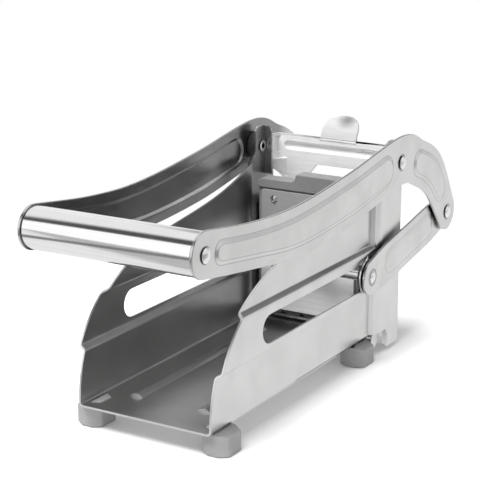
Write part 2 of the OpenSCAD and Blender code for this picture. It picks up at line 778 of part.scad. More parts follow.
// Rivets with ringed heads that hold the plate on the head
module pusher_rivets() {
    r = plate_rivet_d / 2;
    end = -plate_t - plate_rivet_l;
    h = 0.38 * r;
    color(bright) in_frame() for (p = plate_rivets) translate([p[0], plate_y, p[1]])
        rotate([90, 0, 0]) rotate_extrude() polygon(concat(
            [[0, end], [plate_shank_r, end], [plate_shank_r, 0]],
            [for (q = dome(r, h, 0)) if (q[0] > r / 2) q],
            [[r / 2, h / 2], [r / 3, 0.8 * h], [0, h]]));
}

// Folded bracket on the plate that holds the axle
module axle_bracket() {
    half = bracket_w / 2;
    color(steel) in_frame() difference() {
        union() {
            translate([-half, plate_y - plate_t, axle[1] - bracket_h / 2])
                cube([bracket_w, plate_t, bracket_h]);
            for (s = [-1, 1]) on_side(s) side_plate(half - plate_t, plate_t) polygon(concat(
                [[plate_y, axle[1] - bracket_h / 2]], [[plate_y, axle[1] + bracket_h / 2]],
                arc(axle, bracket_h / 2 - 0.5, 90, 270, 12)));
        }
        x_bar(axle_d / 2 + run_gap, -half - 1, half + 1, axle);
    }
}

// Outline of the head, with its offset finger grip on top
module head_outline() {
    x0 = grip_x - grip_w / 2;
    x1 = grip_x + grip_w / 2;
    z1 = base_z0 + base_h;
    z2 = z1 + grip_h;
    edge_r = 1.2;
    corner_x = base_w / 2 - head_r;
    polygon(concat(
        [[-base_w / 2, base_z0], [base_w / 2, base_z0]],
        arc([corner_x, z1 - head_r], head_r, 0, 90, 5),
        bezier([[x1, z1], [x1 - 0.3 * grip_slope, z1], [x1 - 0.2 * grip_slope, z2],
            [x1 - grip_slope, z2]], 8),
        arc([x0 + edge_r, z2 - edge_r], edge_r, 90, 180, 3),
        arc([x0 - grip_r, z1 + grip_r], grip_r, 0, -90, 6),
        arc([-corner_x, z1 - head_r], head_r, 90, 180, 5)));
}

module pusher_head() {
    first = -grid_w / 2 + stud_gap / 2;
    stud_w = pitch - stud_gap;
    color(plastic) in_frame() difference() {
        union() {
            cross_plate(base_y, base_t) head_outline();
            // lip over the plate's top edge, level with the plate's front
            intersection() {
                cross_plate(plate_y, plate_t + 1) head_outline();
                translate([-base_w, plate_y - 1, plate_z0 + plate_h + lip_gap])
                    cube([2 * base_w, plate_t + 3, base_h]);
            }
            for (i = [0:cells - 1]) for (j = [0:cells - 1])
                translate([first + i * pitch, stud_y - 0.5, base_z0 + j * pitch])
                    cube([stud_w, stud_l + 0.5, stud_w]);
        }
        // the toe is set back and notched between the lowest studs
        translate([-base_w, base_y - 1, base_z0 - 1]) cube([2 * base_w, toe_back + 1, toe_h + 5]);
        for (i = [1:cells - 1]) translate([first + i * pitch - stud_gap, base_y - 1, base_z0 - 1])
            cube([stud_gap, base_t + 2, toe_h + 1]);
        for (p = plate_rivets)
            y_bore(plate_shank_r + run_gap, base_y - 1, base_y + plate_rivet_l + clear_gap,
                p[0], p[1]);
    }
}

// Knife cartridge

box_in = grid_w / 2;
box_out = box_in + frame_t;
box_top = grid_z0 + grid_w + frame_t;

// A knife blank along Z, sharpened towards the pusher
module blade() {
    linear_extrude(grid_w) polygon([[0, 0], [knife_t / 2, bevel_l], [knife_t / 2, knife_depth],
        [-knife_t / 2, knife_depth], [-knife_t / 2, bevel_l]]);
}

module knives_upright() {
    color(bright) in_frame() for (i = [1:cells - 1])
        translate([i * pitch - box_in, knife_y, grid_z0]) blade();
}

module knives_level() {
    color(bright) in_frame() for (i = [1:cells - 1])
        translate([-box_in, level_y, grid_z0 + i * pitch]) rotate([0, 90, 0]) blade();
}

// Square sleeve round the knives, with two flanges that fit between the towers
module knife_box() {
    y0 = knife_y - 1;
    half = tower_in - inner_head_t - 2 * clear_gap;
    z0 = grid_z0 - frame_t;
    color(steel) in_frame() difference() {
        union() {
            translate([-box_out, y0, z0]) cube([2 * box_out, bar_y - y0, grid_w + 2 * frame_t]);
            for (y = [y0, lip_y - clear_gap - frame_t]) cross_plate(y, frame_t)
                round_rect([-half, z0], [2 * half, grid_w + 5], 3);
        }
        translate([-box_in, y0 - 1, grid_z0]) cube([2 * box_in, bar_y - y0 + 2, grid_w]);
    }
}

// Half of the top bar's plan, from the flange's tip to the middle
function bar_path(half, off) = concat(
    [[half - off, bar_y - flange_l]],
    arc([half - bar_r, bar_y + frame_t - bar_r], bar_r - off, 0, 90, 6));

// Rear sheet of the cartridge: it frames the knives' opening and carries the top bar with its
// pressed groove, end flanges and gussets, and the curled thumb tab
module cartridge_plate() {
    half = tower_in - clear_gap;
    top = bar_z + bar_h;
    neck = box_out + frame_t;
    groove_at = bar_z + 0.57 * bar_h;
    groove_half = half - 6;
    groove_r = groove_w / 2;
    color(steel) in_frame() {
        difference() {
            union() {
                // sheet behind the knife box
                cross_plate(bar_y, frame_t)
                    round_rect([-neck, grid_z0 - frame_t + 0.3], [2 * neck, bar_z - grid_z0 + 3], 2);
                // bar bent forward at both ends
                translate([0, 0, bar_z]) linear_extrude(bar_h) polygon(concat(
                    bar_path(half, 0), mirrored(bar_path(half, 0)),
                    reversed(mirrored(bar_path(half, frame_t))), reversed(bar_path(half, frame_t))));
                // back of the groove
                turned(capsule(groove_r + frame_t * 0.8, groove_half), [bar_y, groove_at]);
                for (s = [-1, 1]) on_side(s) gusset(half, neck);
            }
            turned(capsule(groove_r, groove_half), [bar_y, groove_at]);
            // nothing of the groove's back stands ahead of the bar
            translate([-groove_half - groove_w, bar_y - groove_w, groove_at - groove_w])
                cube([2 * (groove_half + groove_w), groove_w, 2 * groove_w]);
            cross_plate(bar_y - 1, frame_t + 2) {
                translate([-box_in, grid_z0]) square([grid_w, grid_w]);
                polygon([[-window_w, box_top + 4], [window_w, box_top + 4],
                    [window_w - 15, bar_z - 1], [15 - window_w, bar_z - 1]]);
            }
        }
        thumb_tab(top);
    }
}

// Round bar with domed ends, as a profile for turned()
function capsule(r, half) = concat([[0, -half]],
    [for (p = arc([0, 0], r, -90, 0, 6)) [p[0], p[1] - half + r]],
    [for (p = arc([0, 0], r, 0, 90, 6)) [p[0], p[1] + half - r]]);

// Corner web that joins the bar's end to the sheet below it
module gusset(half, neck) {
    slope = half - neck;
    intersection() {
        translate([0, 0, bar_z - 10]) linear_extrude(11) polygon([
            [neck - 1, bar_y], [neck, bar_y], [half - frame_t, bar_y - slope + frame_t],
            [half, bar_y - slope + frame_t], [half, bar_y - slope + 2 * frame_t],
            [neck + 1, bar_y + frame_t], [neck - 1, bar_y + frame_t]]);
        cross_plate(bar_y - 20, 40) polygon([
            [neck - 1, bar_z - 9], [neck + 1, bar_z - 9], [half, bar_z - 4.5],
            [half, bar_z + 1], [neck - 1, bar_z + 1]]);
    }
}

// Tab that leans back from the bar and curls, with a round outline
module thumb_tab(top) {
    lean0 = 20;
    lean1 = 66;
    r = tab_l / ((lean1 - lean0) * PI / 180);
    c = [bar_y + r * cos(lean0), top - r * sin(lean0)];
    intersection() {
        side_plate(-tab_w / 2, tab_w) polygon(concat(
            arc(c, r, 180 - lean0 + 4, 180 - lean1, 10),
            reversed(arc(c, r - frame_t, 180 - lean0 + 4, 180 - lean1, 10))));
        translate([0, bar_y, top]) rotate([-(lean0 + lean1) / 2, 0, 0])
            cross_plate(-tab_l, 2 * tab_l) polygon(concat(
                [[-tab_w / 2, -4], [tab_w / 2, -4]],
                arc([0, tab_l * 0.97 - tab_w / 2], tab_w / 2, 0, 180, 16)));
    }
}

body_shell();
rear_sill();
foot_front_left();
foot_front_right();
foot_rear_left();
foot_rear_right();
pivot_rivet_left();
pivot_rivet_right();
pivot_bush_left();
pivot_bush_right();
arm_left();
arm_right();
handle_tube();
handle_tie_rod();
tube_plug_left();
tube_plug_right();
hook_rivet_left();
hook_rivet_right();
hook_washer_left();
hook_washer_right();
link_left();
link_right();
eye_rivet_left();
eye_rivet_right();
pusher_plate();
pusher_head();
pusher_rivets();
axle_bracket();
pusher_axle();
slot_bush_left();
slot_bush_right();
axle_washer_left();
axle_washer_right();
axle_spacer_left();
axle_spacer_right();
cartridge_plate();
knife_box();
knives_upright();
knives_level();
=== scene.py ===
import json
import math

import bmesh
import bpy
from mathutils import Matrix, Vector
from mathutils.geometry import delaunay_2d_cdt


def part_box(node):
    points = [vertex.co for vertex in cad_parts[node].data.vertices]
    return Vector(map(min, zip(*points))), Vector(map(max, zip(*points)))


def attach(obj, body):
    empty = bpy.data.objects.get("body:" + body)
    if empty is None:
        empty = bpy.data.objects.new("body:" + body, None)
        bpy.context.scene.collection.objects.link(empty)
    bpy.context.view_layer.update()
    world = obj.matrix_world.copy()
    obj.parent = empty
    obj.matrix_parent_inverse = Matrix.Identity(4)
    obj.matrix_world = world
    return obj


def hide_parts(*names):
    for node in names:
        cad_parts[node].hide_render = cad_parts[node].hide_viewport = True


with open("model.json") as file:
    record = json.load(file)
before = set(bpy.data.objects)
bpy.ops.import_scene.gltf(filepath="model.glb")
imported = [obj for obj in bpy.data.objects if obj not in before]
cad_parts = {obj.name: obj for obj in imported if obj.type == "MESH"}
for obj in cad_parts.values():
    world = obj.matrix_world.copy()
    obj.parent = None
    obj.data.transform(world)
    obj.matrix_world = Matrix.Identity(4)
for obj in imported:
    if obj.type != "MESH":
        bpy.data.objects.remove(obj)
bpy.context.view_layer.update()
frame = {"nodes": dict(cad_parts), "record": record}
nodes = frame["nodes"]
print("frame loaded:", len(nodes), "nodes")

millimetre = 0.001


class Wire:  # one output socket; arithmetic on it adds Math nodes
    def __init__(self, tree, socket=None):
        self.tree = tree
        self.socket = socket

    def make(self, kind, settings=None, sockets=None, output=0):
        node = self.tree.nodes.new(kind)
        for name, value in (settings or {}).items():
            setattr(node, name, value)
        for key, value in (sockets or {}).items():
            if isinstance(value, Wire):
                self.tree.links.new(value.socket, node.inputs[key])
            else:
                node.inputs[key].default_value = value
        return Wire(self.tree, node.outputs[output] if node.outputs else None)

    def maths(self, operation, first, second):
        return self.make("ShaderNodeMath", {"operation": operation}, {0: first, 1: second})

    def __add__(self, other):
        return self.maths("ADD", self, other)

    def __radd__(self, other):
        return self.maths("ADD", other, self)

    def __sub__(self, other):
        return self.maths("SUBTRACT", self, other)

    def __rsub__(self, other):
        return self.maths("SUBTRACT", other, self)

    def __mul__(self, other):
        return self.maths("MULTIPLY", self, other)

    def __rmul__(self, other):
        return self.maths("MULTIPLY", other, self)

    def clamped(self):
        return self.make("ShaderNodeClamp", None, {"Value": self})

    def between(self, low, high):  # spreads a 0..1 value over a new range
        return self * (high - low) + low

    def eased(self, low, high):  # 0 below low, 1 above high, smooth between them
        sockets = {"Value": self, "From Min": low, "From Max": high}
        return self.make("ShaderNodeMapRange", {"interpolation_type": "SMOOTHSTEP"}, sockets)

    def along(self, direction):  # how far a vector reaches in a direction
        sockets = {0: self, 1: direction}
        return self.make("ShaderNodeVectorMath", {"operation": "DOT_PRODUCT"}, sockets, "Value")

    def distance(self, point):
        sockets = {0: self, 1: point}
        return self.make("ShaderNodeVectorMath", {"operation": "DISTANCE"}, sockets, "Value")

    def stretched(self, scale):
        return self.make("ShaderNodeMapping", None, {"Vector": self, "Scale": scale})

    def noise(self, scale, detail, distortion=0.0):
        sockets = {"Vector": self, "Scale": scale, "Detail": detail, "Distortion": distortion}
        return self.make("ShaderNodeTexNoise", None, sockets)


def mixColours(wire, share, first, second):
    return wire.make("ShaderNodeMix", {"data_type": "RGBA"}, {0: share, 6: first, 7: second}, 2)


def newMaterial(name):
    material = bpy.data.materials.new(name)
    material.use_nodes = True
    tree = material.node_tree
    tree.nodes.clear()
    return material, Wire(tree)


def closeMaterial(wire, sockets):
    shader = wire.make("ShaderNodeBsdfPrincipled", None, sockets)
    wire.make("ShaderNodeOutputMaterial", None, {"Surface": shader})


def grey(level, warmth=0.0):
    return (level * (1 + warmth), level, level * (1 - warmth), 1.0)


def bumped(wire, height, strength, distance, under=None):
    sockets = {"Strength": strength, "Distance": distance, "Height": height}
    if under:
        sockets["Normal"] = under
    return wire.make("ShaderNodeBump", None, sockets)


# Metal finishes: patches are the cloudy marks of a rolled sheet, grain its fine scratches. Inside
# faces get painted shade: insideLow and insideHigh are the shares of the outside's level that they keep,
# below and above wallHeight, insideUntil is where that ends, and floorShare holds the tray floor's front
# and rear shares.
sheetFinish = {
    "level": 0.61, "warmth": 0.004, "patchDepth": 0.09, "patchScale": 45.0, "grainDepth": 0.015,
    "grainScale": (60.0, 45.0, 240.0), "rough": (0.28, 0.32), "waveBump": 0.025, "grainBump": 0.003,
    "insideLow": 1.1, "insideHigh": 0.36, "insideUntil": (1.0, 1.1), "floorShare": (0.84, 0.52),
}
pressedFinish = {
    "level": 0.575, "warmth": 0.004, "patchDepth": 0.11, "patchScale": 50.0, "grainDepth": 0.04,
    "grainScale": (60.0, 30.0, 500.0), "rough": (0.20, 0.28), "waveBump": 0.04, "grainBump": 0.02,
    "creaseDepth": 0.72, "insideLow": 0.42, "insideHigh": 0.42, "insideUntil": (0.100, 0.118),
}
satinFinish = {
    "level": 0.91, "warmth": 0.0, "patchDepth": 0.07, "patchScale": 60.0, "grainDepth": 0.08,
    "grainScale": (60.0, 900.0, 900.0), "rough": (0.42, 0.52), "waveBump": 0.06, "grainBump": 0.03,
    "metallic": 0.22,
}
tubeFinish = {
    "level": 0.79, "warmth": 0.0, "patchDepth": 0.03, "patchScale": 60.0, "grainDepth": 0.10,
    "grainScale": (8.0, 1500.0, 1500.0), "rough": (0.11, 0.17), "waveBump": 0.02, "grainBump": 0.05,
}
turnedFinish = {
    "level": 0.76, "warmth": 0.0, "patchDepth": 0.08, "patchScale": 220.0, "grainDepth": 0.05,
    "grainScale": (900.0, 900.0, 900.0), "rough": (0.22, 0.32), "waveBump": 0.05, "grainBump": 0.04,
}
# Shared by all metals: shares, scales, details and distortions of the patterns, where each mask
# fades in, and how pale the painted shade round rivet heads and above a height is
metalMasks = {
    "patchNoise": (1.5, 0.3), "cloudNoise": (2.0, 0.8), "grainNoise": (3.0, 0.0),
    "cloudShare": 0.4, "cloudScale": 0.32, "marks": (0.36, 0.64), "grain": (0.3, 0.7),
    "facingIn": (0.012, 0.026), "facingUp": (0.1, 0.3), "wallHeight": (0.070, 0.086),
    "trayFacing": (0.6, 0.9), "trayTop": (0.020, 0.022), "trayLength": (-0.13, 0.02),
    "rim": (0.10, 0.36), "rimLevel": 0.02, "aboveShadeLevel": 0.1,
    "waveDistance": 1.0 * millimetre, "grainDistance": 0.1 * millimetre,
}
xAxis, yAxis, zAxis = (1, 0, 0), (0, 1, 0), (0, 0, 1)


def paintedInsideShade(finish, masks, place, facing):  # 1 where a face gets the full painted shade of the inside faces
    inward = (facing.along(xAxis) * place.along((-1, 0, 0))).eased(*masks["facingIn"])
    inward = inward * (1 - facing.along(zAxis).eased(*masks["facingUp"]))
    inward = inward * (1 - place.along(yAxis).eased(*finish["insideUntil"]))
    height = place.along(zAxis)
    share = height.eased(*masks["wallHeight"]).between(finish["insideLow"], finish["insideHigh"])
    insideShade = inward * (1 - share)
    if "floorShare" in finish:
        upward = facing.along(zAxis).eased(*masks["trayFacing"]) * (1 - height.eased(*masks["trayTop"]))
        share = place.along(yAxis).eased(*masks["trayLength"]).between(*finish["floorShare"])
        insideShade = insideShade + upward * (1 - share)
    return insideShade


def metalMaterial(name, finish, masks):
    material, wire = newMaterial(name)
    place = wire.make("ShaderNodeTexCoord", None, None, "Object")
    facing = wire.make("ShaderNodeTexCoord", None, None, "Normal")
    patches = place.noise(finish["patchScale"], *masks["patchNoise"])
    clouds = place.noise(finish["patchScale"] * masks["cloudScale"], *masks["cloudNoise"])
    grain = place.stretched(finish["grainScale"]).noise(1.0, *masks["grainNoise"])
    marks = (patches * (1 - masks["cloudShare"]) + clouds * masks["cloudShare"]).eased(*masks["marks"])
    depth = finish["patchDepth"] + finish["grainDepth"]
    tone = marks * (finish["patchDepth"] / depth)
    tone = tone + grain.eased(*masks["grain"]) * (finish["grainDepth"] / depth)
    light = grey(finish["level"] * (1 + depth / 2), finish["warmth"])
    dark = grey(finish["level"] * (1 - depth / 2), finish["warmth"])
    colour = mixColours(wire, tone, dark, light)
    rough = (clouds * 0.5 + grain * 0.5).eased(*masks["grain"]).between(*finish["rough"])
    waves = bumped(wire, clouds, finish["waveBump"], masks["waveDistance"])
    normal = bumped(wire, grain, finish["grainBump"], masks["grainDistance"], waves)
    if "creaseDepth" in finish:  # painted shade in the pressed lines and round the rivet heads
        crease = wire.make("ShaderNodeAttribute", {"attribute_name": "crease"}, None, "Fac")
        lineShade = grey(finish["level"] * (1 - finish["creaseDepth"]))
        colour = mixColours(wire, crease, colour, lineShade)
    # painted shade on the inside faces and the tray's floor
    if "insideUntil" in finish:
        colour = mixColours(wire, paintedInsideShade(finish, masks, place, facing), colour, grey(0.0))
    if "rimShade" in finish:  # painted shade round the sides of the rivets' heads
        sideways = facing.along(xAxis)
        rim = 1 - (sideways * sideways).eased(*masks["rim"])
        colour = mixColours(wire, rim * finish["rimShade"], colour, grey(masks["rimLevel"]))
    if "shadeAbove" in finish:  # painted shade above a height
        low, high, aboveShare = finish["shadeAbove"]
        shadedAbove = place.along(zAxis).eased(low, high) * aboveShare
        colour = mixColours(wire, shadedAbove, colour, grey(masks["aboveShadeLevel"]))
    # thumb dent: a bump, with painted shade in its hollow
    if "dent" in finish:
        thumb = finish["dent"]
        dent = 1 - place.distance(thumb["place"]).eased(0.0, thumb["reach"])
        normal = bumped(wire, 1 - dent, 1.0, thumb["depth"], normal)
        colour = mixColours(wire, dent * thumb["shade"], colour, grey(0.0))
    closeMaterial(wire, {"Base Color": colour, "Metallic": finish.get("metallic", 1.0),
                         "Roughness": rough, "Normal": normal})
    return material


# Rubber, moulded plastic and nylon
rubberFinish = {"level": 0.29, "warmth": 0.0, "rough": (0.62, 0.80), "speckle": 0.18, "mottle": 0.10}
plasticFinish = {"level": 0.20, "warmth": 0.0, "rough": (0.38, 0.52), "speckle": 0.08, "mottle": 0.08}
nylonFinish = {"level": 0.025, "warmth": 0.0, "rough": (0.38, 0.50), "speckle": 0.10, "mottle": 0.20}
mouldedPattern = {
    "fineScale": 1800.0, "broadScale": 90.0, "detail": 3.0, "fineShare": 0.3, "fade": (0.3, 0.7),
    "fineDistance": 0.2 * millimetre,
}


def mouldedMaterial(name, finish, pattern):
    material, wire = newMaterial(name)
    place = wire.make("ShaderNodeTexCoord", None, None, "Object")
    fine = place.noise(pattern["fineScale"], pattern["detail"])
    broad = place.noise(pattern["broadScale"], pattern["detail"])
    tone = broad * (1 - pattern["fineShare"]) + fine * pattern["fineShare"]
    dark = grey(finish["level"] * (1 - finish["mottle"]), finish["warmth"])
    light = grey(finish["level"] * (1 + finish["mottle"]), finish["warmth"])
    rough = broad.eased(*pattern["fade"]).between(*finish["rough"])
    normal = bumped(wire, fine, finish["speckle"], pattern["fineDistance"])
    closeMaterial(wire, {"Base Color": mixColours(wire, tone.eased(*pattern["fade"]), dark, light),
                         "Roughness": rough, "Normal": normal})
    return material


# Thumb dent on the cartridge's tab; shade is how dark the painted shade in it is
thumbDent = {
    "place": (0.0025, 0.0968, 0.1305), "reach": 9.0 * millimetre, "depth": 1.2 * millimetre, "shade": 0.62,
}
# Heights between which the painted shade on the cartridge's tab and the pusher plate's top begins, and how
# much of it there is
cartridgeFinish = {**satinFinish, "shadeAbove": (0.1185, 0.1200, 0.52), "dent": thumbDent}
plateFinish = {**satinFinish, "shadeAbove": (0.045, 0.080, 0.72)}
rivetFinish = {**turnedFinish, "rimShade": 0.85}

sheetSteel = metalMaterial("sheetSteel", sheetFinish, metalMasks)
pressedSteel = metalMaterial("pressedSteel", pressedFinish, metalMasks)
cartridgeSteel = metalMaterial("cartridgeSteel", cartridgeFinish, metalMasks)
plateSteel = metalMaterial("plateSteel", plateFinish, metalMasks)
tubeSteel = metalMaterial("tubeSteel", tubeFinish, metalMasks)
turnedSteel = metalMaterial("turnedSteel", turnedFinish, metalMasks)
rivetSteel = metalMaterial("rivetSteel", rivetFinish, metalMasks)
slotMaterials = {
    "stainless_sheet": sheetSteel,
    "polished_tube": tubeSteel,
    "rivet_steel": turnedSteel,
    "knife_steel": turnedSteel,
    "grey_rubber": mouldedMaterial("footRubber", rubberFinish, mouldedPattern),
    "grey_plastic": mouldedMaterial("headPlastic", plasticFinish, mouldedPattern),
    "black_nylon": mouldedMaterial("bushNylon", nylonFinish, mouldedPattern),
}
nodeMaterials = {"cartridge_plate": cartridgeSteel, "pusher_plate": plateSteel}
for name in nodes:
    if name.startswith(("pivot_rivet", "hook_rivet", "eye_rivet")) or name == "handle_tie_rod":
        nodeMaterials[name] = rivetSteel
print("materials made")


# Distances in metres and angles in degrees
meshRules = {
    "weld": 2e-6, "level": 3e-6, "flatAngle": 0.3, "sharpAngle": 34, "cutAngle": 38, "segments": 3,
}
# Width of each node's rounded edges, in millimetres
edgeSoftness = {
    "body_shell": 0.14, "pusher_plate": 0.30, "pusher_head": 0.6, "cartridge_plate": 0.35,
    "knife_box": 0.25, "rear_sill": 0.25, "axle_bracket": 0.2, "foot_front_left": 1.0,
    "foot_front_right": 1.0, "foot_rear_left": 1.0, "foot_rear_right": 1.0, "pivot_bush_left": 0.4,
    "pivot_bush_right": 0.4, "axle_washer_left": 0.15, "axle_washer_right": 0.15,
}
# Folded nodes with many cut-outs: bends up to this angle keep their own shape
bendAngles = {"body_shell": 64}


def edgeGroup(angle):  # smooth faces with sharp edges kept by their angle
    group = bpy.data.node_groups.new("smoothFaces", "GeometryNodeTree")
    group.interface.new_socket("Geometry", in_out="INPUT", socket_type="NodeSocketGeometry")
    group.interface.new_socket("Geometry", in_out="OUTPUT", socket_type="NodeSocketGeometry")
    wire = Wire(group)
    mesh = wire.make("NodeGroupInput")
    edges = wire.make("GeometryNodeInputMeshEdgeAngle")
    sharp = wire.make("FunctionNodeCompare", {"operation": "GREATER_THAN"}, {0: edges, 1: angle})
    smooth = wire.make("GeometryNodeSetMeshNormal", {"mode": "SHARPNESS"},
                       {"Mesh": mesh, "Remove Custom": True, "Edge Sharpness": sharp})
    wire.make("NodeGroupOutput", None, {0: smooth})
    return group


smoothFaces = edgeGroup(math.radians(meshRules["sharpAngle"]))


def dressNode(name, node, slotName, rules):
    node.data.materials.clear()
    node.data.materials.append(nodeMaterials.get(name, slotMaterials[slotName]))
    weld = node.modifiers.new("weld", "WELD")
    weld.merge_threshold = rules["weld"]
    if name not in bendAngles:
        flat = node.modifiers.new("flat", "DECIMATE")
        flat.decimate_type = "DISSOLVE"
        flat.angle_limit = math.radians(rules["flatAngle"])
    shade = node.modifiers.new("smooth", "NODES")
    shade.node_group = smoothFaces
    if name in edgeSoftness:
        bevel = node.modifiers.new("edges", "BEVEL")
        bevel.width = edgeSoftness[name] * millimetre
        bevel.segments = rules["segments"]
        bevel.limit_method = "ANGLE"
        bevel.angle_limit = math.radians(bendAngles.get(name, rules["cutAngle"]))
        bevel.use_clamp_overlap = False
        bevel.harden_normals = True


slotOf = {entry["node"]: entry["material_slot"] for entry in frame["record"]["subparts"]}
for name, node in nodes.items():
    dressNode(name, node, slotOf[name], meshRules)
print("nodes dressed")


def newObject(name, form, material):
    data = bpy.data.meshes.new(name)
    form.to_mesh(data)
    form.free()
    data.materials.append(material)
    made = bpy.data.objects.new(name, data)
    bpy.context.scene.collection.objects.link(made)
    return made


def newPiece(name, form, material, body, replaced):
    bmesh.ops.recalc_face_normals(form, faces=form.faces)
    for face in form.faces:
        face.smooth = True
    piece = newObject(name, form, material)
    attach(piece, body)
    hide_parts(replaced)


# Pressed sheets: an outline with holes and raised panels, all with rounded edges
def flatLoops(nodeName, level, rules):  # borders of the flat face that far from the middle, as (y, z)
    form = bmesh.new()
    form.from_mesh(nodes[nodeName].data)
    bmesh.ops.remove_doubles(form, verts=form.verts, dist=rules["weld"])
    flat = [face for face in form.faces
            if all(abs(abs(vert.co.x) - level) < rules["level"] for vert in face.verts)]
    within = set(flat)
    following = {}
    for face in flat:
        for corner in face.loops:
            if sum(other in within for other in corner.edge.link_faces) == 1:
                following[corner.vert] = corner.link_loop_next.vert
    loops = []
    while following:
        vert = next(iter(following))
        loop = []
        while vert in following:
            loop.append(Vector((vert.co.y, vert.co.z)))
            vert = following.pop(vert)
        loops.append(loop)
    form.free()
    return loops


def signedArea(loop):
    return 0.5 * sum(a.cross(b) for a, b in zip(loop, loop[1:] + loop[:1]))


def refined(loop, step):  # the same closed curve with more points
    count = len(loop)
    spans = [(loop[(i + 1) % count] - loop[i]).length for i in range(count)]
    slopes = []
    for i in range(count):
        ahead = (loop[(i + 1) % count] - loop[i]) * (spans[i - 1] / spans[i])
        behind = (loop[i] - loop[i - 1]) * (spans[i] / spans[i - 1])
        slopes.append((ahead + behind) / (spans[i - 1] + spans[i]))
    points = []
    for i in range(count):
        start, end = loop[i], loop[(i + 1) % count]
        lead, trail = slopes[i] * spans[i], slopes[(i + 1) % count] * spans[i]
        parts = max(1, math.ceil(spans[i] / step))
        for k in range(parts):
            t = k / parts
            points.append((2 * t**3 - 3 * t**2 + 1) * start + (t**3 - 2 * t**2 + t) * lead
                          + (3 * t**2 - 2 * t**3) * end + (t**3 - t**2) * trail)
    return points


def inset(loop, distance):  # moves a loop to its inside; a negative distance moves it out
    turn = 1 if signedArea(loop) > 0 else -1
    count = len(loop)
    moved = []
    for i in range(count):
        way = (loop[(i + 1) % count] - loop[i - 1]).normalized()
        moved.append(loop[i] + Vector((-way.y, way.x)) * (turn * distance))
    return moved


def circle(centre, radius, count):
    turns = [2 * math.pi * k / count for k in range(count)]
    return [centre + radius * Vector((math.cos(a), math.sin(a))) for a in turns]


def sheetRings(loops, settings):  # closed curves as (points, height, painted line shade), and which are rims
    loops = sorted(loops, key=lambda loop: -abs(signedArea(loop)))
    outline = refined(loops[0], settings["step"])
    holeArea = math.pi * (settings["largestHole"] / 2) ** 2
    panels, holes = [], []
    for loop in loops[1:]:
        area = abs(signedArea(loop))
        if area > holeArea:
            panels.append(refined(loop, settings["step"]))
        else:
            centre = sum(loop, Vector((0, 0))) / len(loop)
            holes.append(circle(centre, math.sqrt(area / math.pi), settings["holePoints"]))
    edge, steps = settings["edgeRadius"], settings["edgeSteps"]
    turns = [math.pi / 2 * k / steps for k in range(steps + 1)]
    corner = [(edge * (1 - math.cos(turn)), edge * (math.sin(turn) - 1)) for turn in turns]
    rings, rims = [], []
    for loop, inward in [(outline, 1)] + [(hole, -1) for hole in holes]:
        rims.append(len(rings))
        for distance, height in corner + [(edge * settings["edgeGuard"], 0.0)]:
            rings.append((inset(loop, inward * distance), height, 0.0))
    for hole in holes:  # painted shade round the rivet heads
        for distance, lineShade in settings["headShade"]:
            rings.append((inset(hole, -distance), 0.0, lineShade))
    slope, rise, guard = settings["slope"], settings["rise"], settings["guard"]
    for panel in panels:
        rings.append((inset(panel, -guard), 0.0, 0.0))
        for share, lift, lineShade in settings["profile"]:
            rings.append((inset(panel, slope * share), rise * lift, lineShade))
        rings.append((inset(panel, slope + guard), rise, 0.0))
    return rings, rims


def pressedSheet(side, loops, level, thickness, settings):
    rings, rims = sheetRings(loops, settings)
    points, edges, details, firstOf = [], [], [], []
    for index, (ring, height, lineShade) in enumerate(rings):
        first = len(points)
        firstOf.append(first)
        points += ring
        details += [(height, lineShade, index if index in rims else -1)] * len(ring)
        edges += [(first + i, first + (i + 1) % len(ring)) for i in range(len(ring))]
    result = delaunay_2d_cdt(points, edges, [], 0, settings["samePoint"])
    flatPoints, _, triangles, sources, _, _ = result
    details = [details[source[0]] if source else (0.0, 0.0, -1) for source in sources]
    form = bmesh.new()
    crease = form.verts.layers.float.new("crease")
    front, back = [], []
    for point, (height, lineShade, _) in zip(flatPoints, details):
        vert = form.verts.new((side * (level + height), point.x, point.y))
        vert[crease] = lineShade
        front.append(vert)
    for point, (height, _, rim) in zip(flatPoints, details):
        below = height if rim < 0 and height >= 0 else -height
        back.append(form.verts.new((side * (level - thickness + below), point.x, point.y)))
    for triangle in triangles:
        around = {details[i][2] for i in triangle}
        if len(around) == 1 and -1 not in around:
            continue  # outside the outline or inside a hole
        form.faces.new([front[i] for i in triangle])
        form.faces.new([back[i] for i in reversed(triangle)])
    placeOf = {original: index for index, source in enumerate(sources) for original in source}
    for rim in rims:
        count = len(rings[rim][0])
        for i in range(count):
            a, b = placeOf[firstOf[rim] + i], placeOf[firstOf[rim] + (i + 1) % count]
            form.faces.new((front[a], front[b], back[b], back[a]))
    loose = [vert for vert in form.verts if not vert.link_faces]
    bmesh.ops.delete(form, geom=loose, context="VERTS")
    return form


# Profiles: share of the slope's width, share of its rise, and how much painted shade the line there has
armProfile = [(0.0, 0.0, 0.55), (0.08, 0.02, 0.3), (0.2, 0.13, 0.0), (0.8, 0.87, 0.0),
              (0.92, 0.98, 0.2), (1.0, 1.0, 0.45)]
linkProfile = [(0.0, 0.0, 0.25), (0.15, 0.07, 0.1), (0.35, 0.28, 0.0), (0.65, 0.72, 0.0),
               (0.85, 0.93, 0.0), (1.0, 1.0, 0.0)]
armPressing = {
    "step": 1.0 * millimetre, "samePoint": 1e-8, "largestHole": 9 * millimetre, "holePoints": 48,
    "edgeRadius": 0.35 * millimetre, "edgeSteps": 4, "edgeGuard": 2.2, "guard": 0.4 * millimetre,
    "headShade": [(0.6 * millimetre, 1.0), (1.6 * millimetre, 1.0), (2.2 * millimetre, 0.0)],
    "slope": 2.2 * millimetre, "rise": 0.8 * millimetre, "profile": armProfile,
}
linkPressing = {
    **armPressing, "slope": 3.2 * millimetre, "rise": 0.4 * millimetre, "profile": linkProfile,
}


